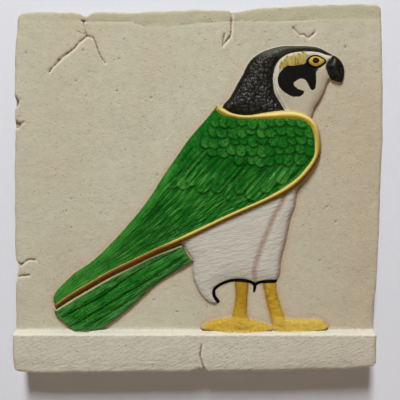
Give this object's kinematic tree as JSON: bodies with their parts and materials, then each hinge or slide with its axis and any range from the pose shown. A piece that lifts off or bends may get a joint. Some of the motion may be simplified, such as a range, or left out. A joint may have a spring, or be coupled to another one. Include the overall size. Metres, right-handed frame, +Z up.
{
  "type": "falcon relief tile",
  "caption": "Square cast plaster wall tile with worn edges, a ledge along its foot and a painted falcon in raised relief standing on it.",
  "frame": {"origin": "middle of the flat back, the face that lies on the wall", "axes": "+Z up, +Y into the wall, so the relief faces -Y; +X to the right as seen from in front"},
  "size_m": [0.15, 0.019, 0.1489],
  "materials": {
    "painted_plaster": "matte cast plaster, painted by hand"
  },
  "bodies": {
    "root": {"falcon_relief_tile": "painted_plaster"}
  },
  "joints": []
}
